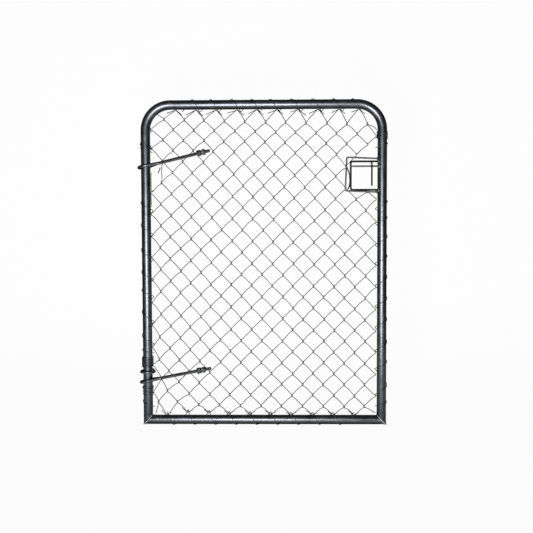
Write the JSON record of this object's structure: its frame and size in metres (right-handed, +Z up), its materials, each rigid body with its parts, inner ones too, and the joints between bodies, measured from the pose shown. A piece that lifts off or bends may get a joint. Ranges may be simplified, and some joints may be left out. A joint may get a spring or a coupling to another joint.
{
  "type": "single swing gate",
  "caption": "Pipe-framed pedestrian gate leaf with round top corners, laced chain-link mesh, barred hand hole and two rod eye hinges.",
  "frame": {"origin": "on the lower gudgeon, where the post-side face of its washer crosses the rod's axis", "axes": "+X from the hinge stile to the latch stile, +Y to the back of the leaf, +Z up along the stiles"},
  "size_m": [0.9174, 0.0964, 1.2034],
  "materials": {
    "pipe": "dark weathered galvanised pipe, satin",
    "weld": "rough zinc-painted weld bead",
    "mesh_wire": "dull galvanised wire",
    "lacing_wire": "dull galvanised wire",
    "rod": "galvanised round bar",
    "fastener": "dark plated nut and washer"
  },
  "bodies": {
    "lower_gudgeon": {"lower_gudgeon": "rod", "lower_eye_weld": "weld", "lower_washer": "fastener", "lower_inner_nut": "fastener", "lower_outer_nut": "fastener"},
    "leaf": {"frame_hoop": "pipe", "bottom_rail": "pipe", "hinge_corner_weld": "weld", "latch_corner_weld": "weld", "chain_link_mesh": "mesh_wire", "latch_side_mesh": "mesh_wire", "top_lacing": "lacing_wire", "bottom_lacing": "lacing_wire", "hinge_stile_lacing": "lacing_wire", "latch_stile_lacing": "lacing_wire", "stile_wrap": "lacing_wire", "foot_wrap": "lacing_wire", "stop_ring": "rod", "hand_hole_frame": "rod", "lock_hoop": "rod", "lock_rail": "rod", "drop_bar": "rod", "lock_welds": "weld"},
    "upper_gudgeon": {"upper_gudgeon": "rod", "upper_eye_weld": "weld", "upper_washer": "fastener", "upper_inner_nut": "fastener", "upper_outer_nut": "fastener"}
  },
  "joints": [
    {"name": "leaf_swing", "type": "hinge", "parent": "lower_gudgeon", "child": "leaf", "pos_m": [-0.18971, 0.0473, -0.04442], "axis": [0, 0, 1], "range_deg": [0, 325]},
    {"name": "upper_gudgeon_turn", "type": "hinge", "parent": "leaf", "child": "upper_gudgeon", "pos_m": [-0.18971, 0.0473, 0.74758], "axis": [0, 0, -1], "range_deg": [0, 325]}
  ]
}
